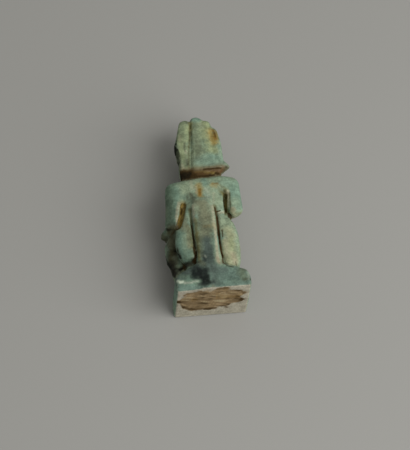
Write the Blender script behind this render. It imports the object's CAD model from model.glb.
"""A small glazed earthenware amulet, lying on its front: a squatting dwarf figure with a plumed crown."""

import bmesh
import bpy
import numpy as np
from mathutils import Matrix, Vector
from mathutils.bvhtree import BVHTree


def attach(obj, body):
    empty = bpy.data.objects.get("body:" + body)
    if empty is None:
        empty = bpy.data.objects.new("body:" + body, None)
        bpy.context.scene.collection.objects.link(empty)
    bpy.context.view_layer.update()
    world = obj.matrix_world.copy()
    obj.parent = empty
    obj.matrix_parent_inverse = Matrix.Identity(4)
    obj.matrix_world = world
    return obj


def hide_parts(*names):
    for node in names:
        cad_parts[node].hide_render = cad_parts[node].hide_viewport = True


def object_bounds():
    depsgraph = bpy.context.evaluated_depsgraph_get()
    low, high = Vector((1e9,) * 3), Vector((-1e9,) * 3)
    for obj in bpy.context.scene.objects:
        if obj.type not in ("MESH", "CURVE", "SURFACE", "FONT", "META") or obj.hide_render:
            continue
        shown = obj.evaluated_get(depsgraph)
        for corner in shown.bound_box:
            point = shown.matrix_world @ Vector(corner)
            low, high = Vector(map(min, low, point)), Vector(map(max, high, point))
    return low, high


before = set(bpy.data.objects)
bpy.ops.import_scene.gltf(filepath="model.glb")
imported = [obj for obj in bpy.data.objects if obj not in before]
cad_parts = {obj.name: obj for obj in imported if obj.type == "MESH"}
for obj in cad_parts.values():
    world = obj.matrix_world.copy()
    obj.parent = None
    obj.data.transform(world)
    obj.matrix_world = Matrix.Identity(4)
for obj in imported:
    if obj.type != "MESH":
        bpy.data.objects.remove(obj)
cad_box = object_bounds()

# The camera
# It looks down on the amulet's back from beyond the plinth, through a long lens.
photo_width = 410
photo_height = 450
focal_pixels = 1655.34
camera_place = Vector((-0.05728, -0.23533, 0.37387))
camera_axis = Vector((0.13324, 0.52756, -0.83900)).normalized()
camera_right = camera_axis.cross(Vector((0.068805, 0.839584, 0.538855))).normalized()
camera_up = camera_right.cross(camera_axis).normalized()

lens = bpy.data.cameras.new("camera")
lens.sensor_width = 36.0
lens.lens = focal_pixels / photo_height * lens.sensor_width
lens.clip_start = 0.01
camera = bpy.data.objects.new("camera", lens)
turn = Matrix((camera_right, camera_up, -camera_axis)).transposed().to_4x4()
camera.matrix_world = Matrix.Translation(camera_place) @ turn
bpy.context.scene.collection.objects.link(camera)
bpy.context.scene.camera = camera

# The pressed body
# Figure, crown, pillar and plinth are one lump of earthenware paste, pressed in a mould and fired.
# The solid's own faces are made fine, and then worn, pitted and chipped by hand.
MM = 0.001
paste_grain = 0.23 * MM
weld_reach = 0.001 * MM

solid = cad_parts["amulet"]
coarse = bpy.data.objects.new("coarse_body", solid.data.copy())
bpy.context.scene.collection.objects.link(coarse)
welded = bmesh.new()
welded.from_mesh(coarse.data)
bmesh.ops.remove_doubles(welded, verts=welded.verts, dist=weld_reach)
welded.to_mesh(coarse.data)
welded.free()
fine = coarse.modifiers.new("fine", "REMESH")
fine.mode = "VOXEL"
fine.voxel_size = paste_grain
soften = coarse.modifiers.new("soften", "SMOOTH")
soften.factor = 0.5
soften.iterations = 3
graph = bpy.context.evaluated_depsgraph_get()
paste = bpy.data.meshes.new_from_object(coarse.evaluated_get(graph))
bpy.data.objects.remove(coarse, do_unlink=True)

body = bpy.data.objects.new("pressed_body", paste)
bpy.context.scene.collection.objects.link(body)
paste.shade_smooth()
count = len(paste.vertices)


def read_points(kind):
    """One row for each of the paste's points: its place ("co") or the way it faces ("normal")."""
    flat = np.empty(count * 3)
    paste.vertices.foreach_get(kind, flat)
    return flat.reshape(-1, 3)


edges = np.empty(len(paste.edges) * 2, dtype=np.int64)
paste.edges.foreach_get("vertices", edges)
edges = edges.reshape(-1, 2)
neighbours = np.bincount(edges.ravel(), minlength=count)


def settle(values, rounds):
    """Evens values out over neighbouring points of the paste, as many times as asked."""
    values = values.copy()
    for _ in range(rounds):
        total = np.zeros_like(values)
        for axis in range(values.shape[1]):
            total[:, axis] = np.bincount(edges[:, 0], values[edges[:, 1], axis], count)
            total[:, axis] += np.bincount(edges[:, 1], values[edges[:, 0], axis], count)
        values = (values + total / neighbours[:, None]) / 2
    return values


cell_keys = np.array([73856093, 19349663, 83492791])
seed_key = 2654435761
mixing_key = 1274126177
low_half = 0xFFFF
low_word = 0xFFFFFFFF


def grit(places, size, seed):
    """Smooth noise from -1 to 1 whose lumps are about the size given in millimetres."""
    spots = places / size + seed * 17.31
    cell = np.floor(spots).astype(np.int64)
    inside = spots - cell
    inside = inside * inside * (3 - 2 * inside)
    total = np.zeros(len(places))
    for corner in range(8):
        step = np.array([corner & 1, corner >> 1 & 1, corner >> 2 & 1])
        key = (cell + step) @ cell_keys + seed * seed_key
        key = (key ^ (key >> 13)) * mixing_key & low_word
        value = ((key ^ (key >> 16)) & low_half) / (low_half / 2) - 1
        total += value * np.prod(np.where(step, inside, 1 - inside), axis=1)
    return total


def ease(values, low, high):
    """0 below low, 1 above high, and a smooth rise between."""
    share = np.clip((values - low) / (high - low), 0, 1)
    return share * share * (3 - 2 * share)


def rough(*layers):
    """Layers of grit laid over each other, each given by its weight, the size of its lumps and its seed."""
    return sum(weight * grit(places, size, seed) for weight, size, seed in layers)


places = read_points("co") / MM
normals = read_points("normal")

# How far each point stands out of what is near it, and out of a wider stretch
bulge = ((places - settle(places, 6)) * normals).sum(axis=1)
broad_bulge = ((places - settle(places, 60)) * normals).sum(axis=1)
ridge = ease(bulge, 0.01, 0.07)
surface = BVHTree.FromObject(body, bpy.context.evaluated_depsgraph_get())
lowest_seen = 0.1 * MM


def on_amulet(across, down):
    """The place on the amulet, in millimetres, that shows at a pixel of the photograph, or else None."""
    way = camera_axis * focal_pixels
    way += camera_right * (across - photo_width / 2) + camera_up * (photo_height / 2 - down)
    hit = surface.ray_cast(camera_place, way.normalized())[0]
    return None if hit is None or hit.z < lowest_seen else np.array(hit) / MM


def brush(spots, width, ragged=0.35, firm=0.55):
    """How much a brush drawn through pixels of the photograph covers each point.

    The width is in millimetres. A low firm gives a soft edge and a high ragged an uneven one.
    """
    path = [on_amulet(*spot) for spot in spots]
    path = [place for place in path if place is not None]
    wobble = ragged * rough((1, 0.9, 11), (0.6, 0.4, 12))
    nearest = np.full(count, np.inf)
    if len(path) == 1:
        path = path * 2
    for start, end in zip(path, path[1:]):
        run = end - start
        share = np.clip((places - start) @ run / max(run @ run, 1e-9), 0, 1)
        nearest = np.minimum(nearest, np.linalg.norm(places - start - share[:, None] * run, axis=1))
    return 1 - ease(nearest / (width / 2) + wobble, firm, 1.8 - firm)


# The line between the plumes is blurred with wear
plume_line = [(190.3, 119), (190.3, 133), (190, 147), (190.3, 168)]
blurred = brush(plume_line, 1.5, 0.0)[:, None]
places = places * (1 - blurred) + settle(places, 14) * blurred

# How deep the scraper, the wear and the breaks went, in millimetres
sunk = np.zeros(count)


def scrape(spots, width, depth, ragged=0.2):
    """Sinks a line or a dent below the surface, through pixels of the photograph."""
    sunk[:] = np.maximum(sunk, depth * brush(spots, width, ragged))


scrape(plume_line, 0.80, 0.16, 0.0)
scrape([(200, 126), (203, 140), (204, 153)], 0.60, 0.07)
scrape([(208, 126), (212, 142), (213, 152)], 0.60, 0.06)
scrape([(184.5, 143), (184, 148), (185, 151)], 0.50, 0.10)
scrape([(187, 160), (187, 164)], 0.90, 0.12)
scrape([(222, 230), (222.5, 237)], 0.45, 0.15)
scrape([(236, 217.5), (241, 216.5)], 0.50, 0.15)
scrape([(190, 194), (193, 197)], 0.60, 0.10)

left_flank = ease(-normals[:, 0], 0.30, 0.70)
crown_flank = left_flank * brush([(177, 128), (175, 146), (178, 164)], 5.0, 0.0)
flaking = crown_flank * rough((0.16, 1.0, 10), (0.10, 0.5, 12))

lumps = rough((0.07, 2.6, 1), (0.045, 1.1, 2), (0.026, 0.55, 3))
pits = 0.09 * ease(rough((1, 0.75, 4), (0.35, 0.4, 5)), 0.62, 0.95)
edge_wear = ridge * (0.05 + 0.11 * ease(grit(places, 1.3, 6), -0.1, 0.7))
band = brush([(184, 175), (200, 173.5), (218, 171)], 2.4, 0.1)
rough_band = band * rough((0.10, 0.8, 7), (0.06, 0.4, 8))
full_calf = 0.55 * left_flank * brush([(169, 239), (168, 248), (169, 258)], 5.0, 0.0)
broken_arm = brush([(231, 214), (236, 216)], 2.0, 0.2)
rough_break = broken_arm * 0.09 * grit(places, 0.5, 9)
depth_change = lumps + rough_band + rough_break + flaking + full_calf - pits - edge_wear - sunk

# The flats that the amulet lies on and was fastened by stay flat, and all of it stays inside the solid's box
flat_rest = ease(places[:, 2], 0.0, 0.4)
flat_foot = ease(places[:, 1] - places[:, 1].min(), 0.0, 0.4)
worn_places = places + normals * (depth_change * flat_rest * flat_foot)[:, None]
worn_places = np.clip(worn_places, np.array(cad_box[0]) / MM, np.array(cad_box[1]) / MM)
paste.vertices.foreach_set("co", (worn_places * MM).ravel())
paste.update()

# The glaze
# A thin copper glaze, green to turquoise, that has gone dull and worn through to the pale core.
# Earth from the ground sits in every hollow, with ochre stains and black crusts from burial.
turquoise = np.array([0.160, 0.255, 0.190])
teal = np.array([0.200, 0.287, 0.206])
pale_green = np.array([0.240, 0.300, 0.195])
sage = np.array([0.198, 0.243, 0.148])
leaf_green = np.array([0.228, 0.278, 0.162])
yellow_green = np.array([0.300, 0.345, 0.180])
straw = np.array([0.325, 0.340, 0.200])
cream = np.array([0.370, 0.360, 0.245])
mint = np.array([0.360, 0.400, 0.310])
peach = np.array([0.370, 0.320, 0.210])
stone = np.array([0.200, 0.212, 0.130])
grey_olive = np.array([0.095, 0.106, 0.066])
olive_brown = np.array([0.078, 0.076, 0.030])
slate = np.array([0.078, 0.106, 0.088])
sea_green = np.array([0.125, 0.185, 0.146])
shade_green = np.array([0.098, 0.148, 0.098])
dark_green = np.array([0.048, 0.054, 0.031])
earth = np.array([0.026, 0.025, 0.010])
night = np.array([0.012, 0.019, 0.016])
amber = np.array([0.290, 0.205, 0.055])
rust = np.array([0.200, 0.108, 0.014])
sienna = np.array([0.150, 0.083, 0.030])

coat = np.empty((count, 3))
drift = ease(rough((1, 5.5, 21), (0.5, 2.2, 22)), -0.7, 0.8)[:, None]
coat[:] = pale_green * drift + turquoise * (1 - drift)
stains = {
    "umber": 0.85 * ease(-broad_bulge, 0.04, 0.34),
    "ochre": 0.35 * ease(grit(places, 3.1, 23), 0.55, 0.9),
    "soot": 0.45 * ease(grit(places, 2.4, 24), 0.6, 0.95) + 0.5 * ease(-broad_bulge, 0.30, 0.6),
    "pale": 0.35 * ridge,
}


def tint(colour, spots, width, strength=1.0, ragged=0.30, where=1.0):
    """Lays a soft colour of glaze over the coat, through pixels of the photograph."""
    cover = (strength * where * brush(spots, width, ragged, 0.15))[:, None]
    coat[:] = coat * (1 - cover) + colour * cover


def stain(kind, spots, width, strength=1.0, ragged=0.35, where=1.0):
    """Brings one kind of stain to a strength, through pixels of the photograph."""
    cover = where * brush(spots, width, ragged, 0.35)
    stains[kind] = stains[kind] * (1 - cover) + strength * cover


# The strokes: places are pixels of the photograph, widths are millimetres on the amulet
# Crown and mane
stain("umber", plume_line, 1.5, 0.0, 0.0)
stain("soot", plume_line, 1.8, 0.0, 0.0)
tint(leaf_green, [(184, 124), (182, 145), (185, 168)], 4.6)
tint(yellow_green, [(181, 138), (182.5, 156)], 2.2, 0.45)
tint(sage, [(195, 122), (197, 145), (197, 166)], 4.6)
tint(yellow_green, [(206, 124), (209, 138), (212, 150)], 3.4, 0.85)
tint(yellow_green, [(187, 126), (187.5, 140)], 1.4, 0.6)
tint(mint, [(201, 124), (203, 127)], 1.1, 0.35)
tint(turquoise, [(192, 119), (198, 119)], 2.2, 0.9)
tint(teal, [(200, 161), (214, 158), (222, 161)], 3.6, 0.9)
tint(turquoise, [(211, 156), (217, 157)], 1.2, 0.5)
tint(teal, [(218, 142), (221, 156)], 1.2, 0.6)
tint(grey_olive, [(196, 141), (199, 150), (198, 158)], 1.7, 0.38)
tint(grey_olive, [(200, 146), (204, 152)], 1.0, 0.30)
tint(grey_olive, [(186.5, 160), (187.5, 164)], 1.1, 0.80)
tint(grey_olive, [(180, 122.5), (185, 121.5)], 0.8, 0.6)
tint(grey_olive, [(186.5, 123), (190, 122.5)], 1.0, 0.75)
tint(grey_olive, [(205, 120.5), (210, 122.5)], 0.8, 0.65)
tint(grey_olive, [(182, 134), (183, 141)], 1.0, 0.20)
notch = [(190.3, 124), (190.3, 127), (190.3, 130)]
stain("umber", notch, 1.6, 0.0, 0.0)
stain("soot", notch, 1.6, 0.0, 0.0)
tint(olive_brown * 2.2, notch, 1.4, 0.9, 0.1)
tint(olive_brown * 1.3, [(190, 121), (189.8, 133), (189.2, 147)], 0.85, 0.70, 0.15)
tint(olive_brown, [(189.2, 147), (189, 168)], 0.75, 0.60, 0.15)
tint(olive_brown, [(189.8, 129), (189.5, 141)], 0.55, 0.60, 0.15)
tint(grey_olive, [(184.4, 143), (184, 148), (185, 151)], 0.45, 0.7)
tint(cream, [(186, 151), (186, 153)], 0.6, 0.5)
tint(cream, [(181.5, 165), (183, 168.5)], 1.0, 0.45)
tint(cream, [(179.5, 136), (180, 140)], 0.9, 0.35)
tint(amber * 1.2, [(210, 131), (212.2, 138), (214, 142.5)], 2.2, 0.85)
tint(amber * 0.9, [(215.8, 131), (217.3, 139)], 1.2, 0.75)
tint(yellow_green * 0.85, [(211, 146), (215, 151)], 1.8, 0.55)
tint(rust, [(213.2, 130), (214.5, 134), (215.6, 138.5)], 1.0, 0.90)
stain("umber", [(214.3, 132), (215.5, 137)], 0.60, 0.62, 0.3)
tint(yellow_green, [(204, 122), (206, 130)], 1.8, 0.5)
tint(olive_brown, [(192, 168.3), (208, 167), (222, 165.5)], 0.45, 0.50)
tint(grey_olive, [(223, 166.5), (229, 168)], 1.1, 0.85)
stain("umber", [(220, 173), (224, 170.5), (229, 168.7)], 1.2, 0.70)
tint(grey_olive, [(177, 128), (174.5, 142), (178.5, 163)], 5.0, 0.75, 0.4, left_flank)
stain("soot", [(177, 127), (177, 133)], 2.4, 0.95, 0.7, left_flank)
stain("soot", [(174, 140), (174.5, 146), (177, 152)], 2.8, 0.95, 0.9, left_flank)
stain("soot", [(178, 155), (178.5, 164)], 2.0, 0.62, 0.8, left_flank)

# Neck band
neck_line = [(181, 176), (200, 174), (221, 171.5)]
tint(sienna, neck_line, 3.6, 1.0, 0.0)
stain("umber", neck_line, 3.4, 0.42, 0.0)
stain("umber", [(190, 175), (203, 174)], 2.4, 0.58, 0.3)
stain("umber", [(181.5, 176), (190, 175)], 3.2, 0.97, 0.2)
stain("soot", [(181.5, 177), (188.5, 175.5)], 2.4, 0.70)
stain("umber", [(190, 178), (205, 176), (214, 175)], 0.6, 0.95)
stain("umber", [(204, 169.3), (214, 168.3), (221, 168)], 0.5, 0.90)
stain("umber", [(216, 173.3), (218.5, 173.5)], 0.8, 0.95)
tint(amber, [(205, 172), (213, 173)], 0.7, 0.65)
tint(amber, [(195, 172.3), (203, 171.2)], 0.45, 0.45)
tint(amber, [(212, 174.5), (215, 172.5)], 0.5, 0.75)

# Shoulders and back
tint(pale_green, [(180, 188), (200, 184), (220, 181)], 5.0, 0.8)
tint(teal, [(226, 182), (235, 184)], 3.2, 0.7)
tint(turquoise, [(204, 180), (205, 187)], 1.7, 0.8)
tint(sage, [(183, 186), (187, 200)], 1.6, 0.3)
tint(pale_green * 1.1, [(205, 190), (214, 195), (217, 203)], 3.0, 0.9)
tint(pale_green * 1.1, [(184, 190), (189, 190)], 2.0, 0.6)
tint(cream, [(190.5, 181), (192.5, 189)], 0.9, 0.35)
tint(cream, [(213.5, 193), (213.5, 203)], 0.7, 0.35)
tint(mint, [(206, 190), (208, 197)], 1.6, 0.35)
tint(teal * 0.9, [(202, 182), (212, 184), (228, 184)], 1.6, 0.35)
tint(amber, [(198.5, 186), (200, 196)], 1.9, 0.80)
tint(rust, [(199.7, 190), (200, 195)], 0.8, 0.90)
tint(cream, [(196, 187), (196.5, 193)], 0.6, 0.45)
tint(amber, [(213, 185), (217, 186)], 1.6, 0.50)
tint(rust, [(212.5, 183.7), (217.5, 183.3)], 0.5, 0.60)
tint(grey_olive * 1.1, [(191, 195), (194, 200), (199, 203)], 1.6, 0.85)
tint(grey_olive, [(190, 193), (196, 198)], 0.5, 0.60)
tint(grey_olive, [(193, 202), (197, 203)], 0.8, 0.50)
tint(grey_olive, [(186.7, 196), (187.5, 199.5)], 0.55, 0.75)
tint(cream, [(204, 200), (211, 207)], 0.5, 0.45)

# Left arm, which faces away from the light
tint(turquoise, [(175, 190), (176, 224)], 2.6, 0.8)
tint(shade_green * 1.1, [(167, 188), (167, 200)], 3.9, 0.85)
tint(shade_green * 0.8, [(167.5, 204), (168, 222)], 3.9, 0.92)
tint(shade_green * 0.8, [(172, 200), (173, 222)], 2.0, 0.45)
tint(dark_green, [(164, 194), (164.5, 222)], 1.6, 0.55)
tint(grey_olive * 0.50, [(165, 224), (173, 227)], 2.4, 0.90)
tint(earth * 1.3, [(164, 228), (170, 229.5), (175, 231)], 1.9, 0.85, 0.5)
stain("soot", [(166, 229), (171, 229.5)], 1.0, 0.60, 0.6)

# Gap inside the left arm
left_gap = [(183, 205), (180, 216), (178, 228)]
stain("umber", left_gap, 2.2, 0.05)
stain("soot", left_gap, 2.2, 0.0)
tint(amber * 0.85, [(182.5, 205), (180.5, 216), (178.5, 228)], 2.3, 1.0, 0.1)
tint(amber * 1.35, [(182.8, 205.5), (181.6, 213), (180.5, 219), (178.8, 226)], 1.2, 0.85, 0.3)
stain("umber", [(181.8, 209), (180.9, 214.5)], 0.75, 0.80, 0.4)
stain("umber", [(181.5, 216), (180.3, 226)], 0.5, 0.40)
stain("umber", [(181.5, 204), (180.3, 208)], 0.5, 0.55)
stain("umber", [(184, 204.5), (184, 208)], 0.4, 0.50)
tint(amber * 1.2, [(185.3, 205), (184.5, 212)], 0.5, 0.6)
tint(peach * 0.75, [(177.6, 219), (177.2, 228)], 1.0, 0.90)
tint(cream, [(178.5, 203), (176.5, 218)], 0.8, 0.7)

# Gap inside the right arm, the waist and the broken elbow
right_gap = [(224.3, 193), (224.4, 197), (224.5, 201), (224.9, 205), (225.4, 210)]
stain("soot", right_gap, 3.0, 0.0, 0.0)
stain("umber", [(227.5, 191), (228, 208)], 1.2, 0.05, 0.0)
stain("umber", right_gap, 2.8, 0.22, 0.0)
tint(olive_brown * 1.5, [(223.2, 191), (223.8, 206), (225.2, 211)], 2.4, 1.0, 0.0)
tint(olive_brown * 2.4, right_gap, 2.4, 1.0, 0.0)
tint(amber * 0.9, [(225.8, 194), (226.0, 201), (226.4, 208)], 0.8, 0.8)
tint(cream * 1.35, [(227.9, 191), (228.3, 207)], 0.8, 0.9, 0.1)
stain("umber", [(223.4, 193), (223.6, 200), (223.9, 207)], 0.5, 0.66, 0.2)
tint(olive_brown, [(221.5, 188.5), (223.5, 191), (225.3, 193.5)], 1.5, 0.75, 0.2)
tint(pale_green, [(219.5, 187.5), (222.3, 189.5)], 1.4, 0.85)
tint(earth * 1.6, [(224.4, 190.6), (224.5, 195)], 0.85, 0.9, 0.1)
tint(olive_brown * 1.3, [(229.5, 193), (230.2, 203), (231.6, 212)], 0.50, 0.70, 0.3)
stain("umber", [(229.5, 194), (230.2, 204), (231.0, 210)], 0.35, 0.45, 0.4)
stain("umber", [(226, 210.5), (229, 213.5), (231, 218)], 1.1, 0.95)
stain("umber", [(231, 219), (232, 221.5)], 0.5, 0.8)
stain("umber", [(233.5, 210), (235, 217)], 1.2, 0.05)
tint(peach, [(232.8, 209), (234, 218)], 1.4, 0.8)
tint(peach * 0.8, [(233, 212), (235, 215)], 1.2, 0.5)
tint(straw * 0.85, [(232, 211), (235, 214), (241, 214)], 2.0, 0.65)
stain("umber", [(236, 217.8), (242, 216.8)], 0.45, 0.75)
stain("umber", [(216, 212), (220, 210.7), (225, 209)], 0.50, 0.85, 0.15)
tint(cream, [(219, 213.3), (224, 212.5)], 0.9, 0.85)
tint(teal, [(236, 188), (237, 205)], 2.4, 0.4)

# Back pillar
tint(stone, [(203, 205), (206, 214)], 3.8, 0.95)
tint(stone * 0.80, [(205, 216), (206, 235)], 4.0, 0.95)
tint(grey_olive, [(200.5, 221), (203, 228), (208, 231)], 1.7, 0.55)
tint(grey_olive, [(199, 212), (200, 219)], 1.0, 0.35)
tint(slate * 0.80, [(207, 241), (208.5, 262)], 3.4, 1.0)
tint(slate * 0.75, [(210, 247), (211.5, 260)], 1.5, 0.7)
tint(slate * 0.6, [(203, 253), (206, 264)], 1.8, 0.75)
tint(night, [(203, 256), (205, 260)], 0.9, 0.75)
tint(mint * 0.6, [(205, 255.5), (206, 257)], 0.5, 0.5)
tint(cream * 0.7, [(192.7, 206), (193.7, 222)], 0.9, 0.75)
tint(olive_brown * 1.9, [(195.3, 219), (196.7, 236)], 0.9, 0.7)
tint(olive_brown * 1.7, [(196.5, 234), (198.3, 250), (199.3, 262)], 1.2, 0.9)
tint(grey_olive, [(200, 236), (202, 256)], 0.9, 0.5)
tint(cream, [(212.6, 206), (214, 225)], 0.9, 0.75)
tint(cream * 0.95, [(214.8, 226), (216.6, 245), (217.6, 255), (218.6, 262)], 0.85, 0.9)
tint(peach * 0.9, [(217.8, 258), (220, 263)], 0.9, 0.7)
tint(peach, [(220.3, 246), (222.5, 256)], 0.5, 0.6)

# Lines beside the pillar, which fade out upward
stain("umber", [(188.5, 203), (190, 212), (191, 226)], 1.2, 0.10, 0.0)
tint(sage * 0.8, [(188.5, 203), (190, 212)], 0.9, 0.7)
tint(olive_brown * 1.3, [(190, 210), (191.3, 225), (192.6, 238)], 1.0, 0.80, 0.2)
tint(olive_brown * 0.9, [(192.6, 236), (194, 248), (194.8, 259)], 1.1, 0.95, 0.2)
stain("umber", [(190.6, 213), (191.6, 226)], 0.45, 0.28, 0.4)
stain("umber", [(191.6, 226), (192.8, 238), (194, 250)], 0.50, 0.78, 0.15)
stain("umber", [(194, 248), (194.8, 254), (194.6, 261)], 0.80, 0.90)
groove_path = [(216.6, 218), (217.5, 226), (218.6, 236), (219.6, 246), (221.7, 255), (224, 262.5)]
tint(olive_brown * 1.4, [(214.6, 206), (215.5, 212), (216.6, 218)], 1.1, 0.85, 0.1)
tint(sienna, groove_path, 1.0, 0.95, 0.1)
stain("umber", [(214.9, 208), (215.7, 213), (216.6, 218)], 0.65, 0.80, 0.2)
stain("umber", groove_path, 0.80, 0.97, 0.1)
stain("umber", [(214.7, 208), (215.7, 216), (216.7, 226), (217.8, 236)], 0.55, 0.85, 0.2)
stain("umber", [(224, 262.5), (227, 265.5), (233, 267)], 0.45, 0.85, 0.2)
tint(rust, [(221, 247), (223.3, 257)], 0.45, 0.7)

# Left leg
tint(turquoise, [(180, 234), (180, 250), (184, 258)], 3.2, 0.85)
tint(pale_green, [(184, 236), (186, 256)], 1.6, 0.45)
tint(stone * 0.9, [(184, 219), (183.5, 229)], 1.8, 0.7)
tint(straw * 0.55, [(187.3, 226), (189.9, 247)], 1.4, 0.85)
tint(turquoise * 0.65, [(181, 254), (187, 256), (190, 252)], 2.0, 0.60)
tint(olive_brown * 1.6, [(190.3, 228), (192, 246)], 0.6, 0.60)
tint(shade_green, [(175.5, 234), (176, 258)], 1.4, 0.75)
tint(shade_green, [(180, 258), (190, 259)], 1.4, 0.5)

# Outer side of the left leg, dark with earth
tint(earth * 1.6, [(172.5, 234), (173.5, 250), (172, 266)], 3.8, 1.0, 0.2)
tint(earth * 1.6, [(165, 240), (166, 262)], 4.2, 1.0, 0.15)
tint(dark_green * 1.4, [(160.5, 235), (165, 238)], 2.4, 1.0, 0.1)
tint(earth, [(177, 249), (179, 256)], 1.3, 0.85, 0.4)
tint(grey_olive * 1.1, [(174.5, 258), (177, 263)], 1.1, 0.85)
tint(grey_olive * 0.9, [(180, 256), (182, 261)], 0.9, 0.5)
tint(grey_olive, [(169, 237), (171, 246)], 2.2, 0.60)
stain("soot", [(166.5, 250), (168, 258), (171, 268)], 1.2, 0.70, 0.5)
stain("soot", [(175.5, 251), (178.5, 255), (181, 258)], 0.9, 0.75, 0.5)
tint(earth * 0.5, [(196, 259), (190, 264), (183, 268), (176, 273)], 2.0, 0.95, 0.5)
tint(earth * 0.4, [(171, 266), (174, 274), (173.5, 284)], 2.6, 1.0, 0.3)
stain("soot", [(186, 266.5), (180, 269.5)], 1.0, 0.75, 0.6)

# Right leg
tint(pale_green, [(222, 218), (228, 230)], 2.6, 0.7)
tint(straw * 0.95, [(229, 232), (231, 262)], 3.4, 0.9)
tint(straw * 0.90, [(225, 240), (229, 262)], 1.8, 0.85)
tint(yellow_green, [(231, 238), (232, 250)], 1.1, 0.5)
tint(cream, [(225, 236), (227, 255)], 0.8, 0.35)
tint(peach, [(233, 254), (235.5, 262)], 1.6, 0.55)
stain("umber", [(222, 230), (222.5, 237)], 0.45, 0.80)
stain("umber", [(235.5, 262), (236.5, 266)], 0.45, 0.6)

# Plinth
tint(sea_green, [(215, 273), (230, 274), (247, 276)], 4.8, 0.95)
tint(sea_green, [(178, 290), (215, 288), (246, 284)], 3.0, 0.95)
tint(sea_green * 0.8, [(240, 271), (247, 277)], 2.6, 0.5)
tint(slate * 0.7, [(178, 279), (186, 273), (198, 267)], 3.6, 0.95)
tint(slate * 0.95, [(210, 266), (214, 282)], 2.6, 0.85)
tint(slate, [(214, 268), (218, 278)], 2.6, 0.6)
tint(slate * 1.1, [(215, 267), (224, 270)], 2.0, 0.7)
tint(shade_green, [(178, 276), (187, 277)], 1.4, 0.5)
tint(grey_olive, [(192, 266), (203, 264)], 1.6, 0.6)
tint(night * 0.5, [(199, 271), (203, 281)], 3.4, 1.0)
tint(night * 0.6, [(195, 274), (196, 279)], 1.9, 0.9)
tint(night * 0.5, [(205, 269), (207, 282)], 1.8, 0.9)
tint(sea_green, [(210.8, 273), (211.3, 279)], 0.7, 0.7)
tint(sea_green * 0.85, [(217, 276), (246, 279)], 2.0, 0.6)
tint(sage * 0.8, [(241.5, 272), (244, 277)], 2.2, 0.60)
tint(grey_olive, [(241, 268.5), (245, 269.5)], 1.0, 0.45)
tint(dark_green * 1.6, [(243.5, 279.3), (246, 279)], 0.9, 0.75)
tint(mint * 0.8, [(247.6, 271.5), (248.9, 279)], 0.6, 0.55)
tint(dark_green, [(250.1, 273.5), (250.6, 279.5)], 0.6, 0.95, 0.1)
tint(teal * 0.8, [(177.5, 281.5), (188, 282.3), (199, 281.5)], 1.3, 0.85, 0.4)
tint(mint, [(177, 281), (180, 282.3)], 0.8, 0.7, 0.6)
tint(mint * 1.35, [(180.7, 282.4), (182.8, 281.8)], 0.7, 0.95, 0.2)
tint(mint * 0.95, [(185, 283), (192, 282.6)], 0.7, 0.80, 0.6)
tint(mint * 0.90, [(193, 281.5), (198, 281.2)], 0.5, 0.65, 0.6)
tint(night, [(200, 283.8), (214, 281.8)], 0.8, 0.6)

# Underside, where old cement has dried in a brown smear over the bare paste
bare_paste = np.array([0.350, 0.325, 0.250])
cement = np.array([0.215, 0.150, 0.075])
dry_crust = np.array([0.330, 0.265, 0.150])
under = ease(-normals[:, 1], 0.7, 0.9) * ease(1.2 - places[:, 1] + places[:, 1].min(), 0.6, 1.1)
left_end = np.array([-8.6, 8.0])
right_end = np.array([7.6, 9.4])
flat = places[:, [0, 2]]
run = right_end - left_end
share = np.clip((flat - left_end) @ run / (run @ run), 0, 1)
off_line = np.linalg.norm(flat - left_end - share[:, None] * run, axis=1)
smear_reach = 5.2 * np.sqrt(np.clip(1.02 - (2 * share - 1) ** 4, 0, 1))
fingers = 1.6 * np.sin(places[:, 2] * 1.5 + 0.6) * ease(places[:, 0], 2.5, 7.5)
frayed = rough((1.1, 1.6, 31), (0.5, 0.6, 32))
smear = 1 - ease(off_line - smear_reach + fingers + frayed, -0.9, 0.3)
swirl = places + 0.5 * grit(places, 2.2, 35)[:, None]
swirl = swirl @ np.array([[0.30, 0.0, 0.35], [0.0, 1.0, 0.0], [-0.25, 0.0, 1.5]])
streak = grit(swirl, 1.1, 33) + 0.5 * grit(swirl, 0.45, 36)
crusted = ease(streak, 0.1, 0.8) * ease(smear_reach - off_line, 0.6, 2.6)
dried = cement * (1 + 0.3 * streak[:, None]) * (1 - crusted[:, None]) + dry_crust * crusted[:, None]
dusty = bare_paste * (1 + 0.10 * grit(places, 0.9, 37)[:, None])
underside = dusty * (1 - smear[:, None]) + dried * smear[:, None]
coat[:] = coat * (1 - under[:, None]) + underside * under[:, None]
rim_dark = smear * (1 - ease(smear_reach - off_line + 0.6 * frayed, 0.2, 1.6))
soaked = smear * 0.62 * ease(-streak, 0.0, 0.8) + 0.55 * rim_dark
stains["umber"] = stains["umber"] * (1 - under) + under * soaked
stains["soot"] = stains["soot"] * (1 - 0.8 * under)
rusty = smear * 0.40 * ease(grit(places, 2.0, 34), 0.1, 0.7)
stains["ochre"] = stains["ochre"] * (1 - under) + under * rusty

colours = paste.color_attributes.new("coat", "FLOAT_COLOR", "POINT")
colours.data.foreach_set("color", np.column_stack((coat, np.ones(count))).astype(np.float32).ravel())
for kind, strength in stains.items():
    stored = paste.attributes.new(kind, "FLOAT", "POINT")
    stored.data.foreach_set("value", np.clip(strength, 0, 1).astype(np.float32))


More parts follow.
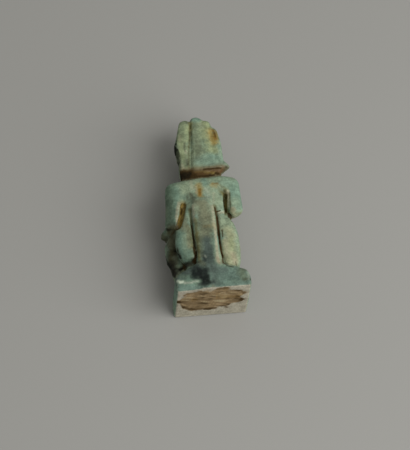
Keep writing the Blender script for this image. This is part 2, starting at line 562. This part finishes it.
class Glaze:
    """One output of the glaze's shader nodes. Sums and products of outputs add Math nodes."""

    def __init__(self, nodes, output):
        self.nodes = nodes
        self.output = output

    def maths(self, operation, first, second):
        return self.nodes.add("ShaderNodeMath", {"operation": operation}, {0: first, 1: second})

    def __add__(self, other):
        return self.maths("ADD", self, other)

    def __sub__(self, other):
        return self.maths("SUBTRACT", self, other)

    def __rsub__(self, other):
        return self.maths("SUBTRACT", other, self)

    def __mul__(self, other):
        return self.maths("MULTIPLY", self, other)

    def between(self, low, high, at_low=0.0, at_high=1.0):
        """Maps the stretch from low to high onto other values, with smooth ends."""
        values = {"Value": self, "From Min": low, "From Max": high, "To Min": at_low, "To Max": at_high}
        return self.nodes.add("ShaderNodeMapRange", {"interpolation_type": "SMOOTHSTEP"}, values)


class GlazeNodes:
    """The node tree of one fired and glazed surface."""

    def __init__(self, name):
        self.material = bpy.data.materials.new(name)
        self.material.use_nodes = True
        self.tree = self.material.node_tree
        self.shader = self.tree.nodes["Principled BSDF"]

    def feed(self, socket, value):
        if isinstance(value, Glaze):
            self.tree.links.new(value.output, socket)
        else:
            socket.default_value = value

    def add(self, kind, settings, values, output=0):
        """Adds a node with its settings and the values or links of its sockets."""
        node = self.tree.nodes.new(kind)
        for name, setting in settings.items():
            setattr(node, name, setting)
        for name, value in values.items():
            self.feed(node.inputs[name], value)
        return Glaze(self, node.outputs[output])

    def blend(self, under, over, cover, way="MIX"):
        """Lays one colour over another."""
        settings = {"data_type": "RGBA", "blend_type": way}
        return self.add("ShaderNodeMix", settings, {0: cover, 6: under, 7: over}, 2)

    def speckle(self, size):
        """Noise from 0 to 1 whose lumps are about the size given in millimetres."""
        values = {"Vector": self.place, "Scale": 1 / (size * MM), "Detail": 4.0, "Roughness": 0.6}
        return self.add("ShaderNodeTexNoise", {"noise_dimensions": "3D"}, values)


glaze = GlazeNodes("worn_green_glaze")
glaze.place = glaze.add("ShaderNodeTexCoord", {}, {}, "Object")
flecks = glaze.speckle(0.5)
cloud = glaze.speckle(1.7)
dust = glaze.speckle(0.22)


def crisp(kind):
    """A stain with edges broken up as finely as the paste's grain."""
    amount = glaze.add("ShaderNodeAttribute", {"attribute_name": kind}, {}, "Fac")
    return (amount + (flecks - 0.5) * 0.5 + (cloud - 0.5) * 0.25).between(0.12, 0.92)


colour = glaze.add("ShaderNodeAttribute", {"attribute_name": "coat"}, {}, "Color")
mottle = cloud.between(0.3, 0.7, 0.80, 1.14) * flecks.between(0.3, 0.7, 0.82, 1.16)
colour = glaze.blend(colour, mottle, 1.0, "MULTIPLY")
pale = crisp("pale")
ochre = crisp("ochre")
umber = crisp("umber")
soot = crisp("soot")
pale_core = (0.42, 0.41, 0.28, 1.0)
iron_stain = (0.215, 0.120, 0.018, 1.0)
packed_earth = (0.040, 0.023, 0.006, 1.0)
black_crust = (0.004, 0.005, 0.003, 1.0)
dark_specks = (0.05, 0.045, 0.025, 1.0)
colour = glaze.blend(colour, pale_core, pale * 0.7)
colour = glaze.blend(colour, iron_stain, ochre * 0.9)
colour = glaze.blend(colour, packed_earth, umber * 0.94)
colour = glaze.blend(colour, black_crust, soot * 0.97)
colour = glaze.blend(colour, dark_specks, dust.between(0.62, 0.78, 0.0, 0.55))
glaze.feed(glaze.shader.inputs["Base Color"], colour)
dull = pale * 0.1 + umber * 0.18 + soot * 0.1 + flecks * 0.2 + 0.55
glaze.feed(glaze.shader.inputs["Roughness"], dull)
glaze.shader.inputs["Specular IOR Level"].default_value = 0.10
glaze.shader.inputs["Coat Roughness"].default_value = 0.28
clean = (1 - umber) * (1 - soot) * (1 - ochre)
kept_gloss = cloud.between(0.40, 0.62, 0.04, 0.30) * clean * (1 - pale * 0.6)
glaze.feed(glaze.shader.inputs["Coat Weight"], kept_gloss)
grain = flecks * 0.5 + dust * 0.3 + cloud * 0.4 - umber * 0.3
bump = glaze.add("ShaderNodeBump", {}, {"Strength": 0.55, "Distance": 0.05 * MM, "Height": grain})
glaze.feed(glaze.shader.inputs["Normal"], bump)
paste.materials.clear()
paste.materials.append(glaze.material)

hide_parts("amulet")
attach(body, "root")

# The floor and the light
# A plain pale grey floor under soft studio light, most of it from the right and the plinth's side.
floor_reach = 1.5
floor_colour = (0.335, 0.330, 0.310, 1.0)
key_place = Vector((0.40, -0.33, 0.41))
key_size = 0.75
key_watts = 5.4
room_colour = (1.0, 1.0, 0.97, 1.0)
room_strength = 0.365

floor_mesh = bpy.data.meshes.new("floor")
rim = [(x * floor_reach, y * floor_reach, 0.0) for x, y in ((-1, -1), (1, -1), (1, 1), (-1, 1))]
floor_mesh.from_pydata(rim, [], [(0, 1, 2, 3)])
floor = bpy.data.objects.new("floor", floor_mesh)
bpy.context.scene.collection.objects.link(floor)
card = GlazeNodes("grey_card")
card.shader.inputs["Base Color"].default_value = floor_colour
card.shader.inputs["Roughness"].default_value = 0.9
card.shader.inputs["Specular IOR Level"].default_value = 0.2
floor_mesh.materials.append(card.material)

softbox = bpy.data.lights.new("key_light", "AREA")
softbox.energy = key_watts
softbox.size = key_size
key_light = bpy.data.objects.new("key_light", softbox)
key_light.location = key_place
key_light.rotation_euler = (-key_place).to_track_quat("-Z", "Y").to_euler()
bpy.context.scene.collection.objects.link(key_light)
world = bpy.data.worlds.new("studio")
world.use_nodes = True
world.node_tree.nodes["Background"].inputs["Color"].default_value = room_colour
world.node_tree.nodes["Background"].inputs["Strength"].default_value = room_strength
bpy.context.scene.world = world
bpy.context.scene.view_settings.view_transform = "Standard"
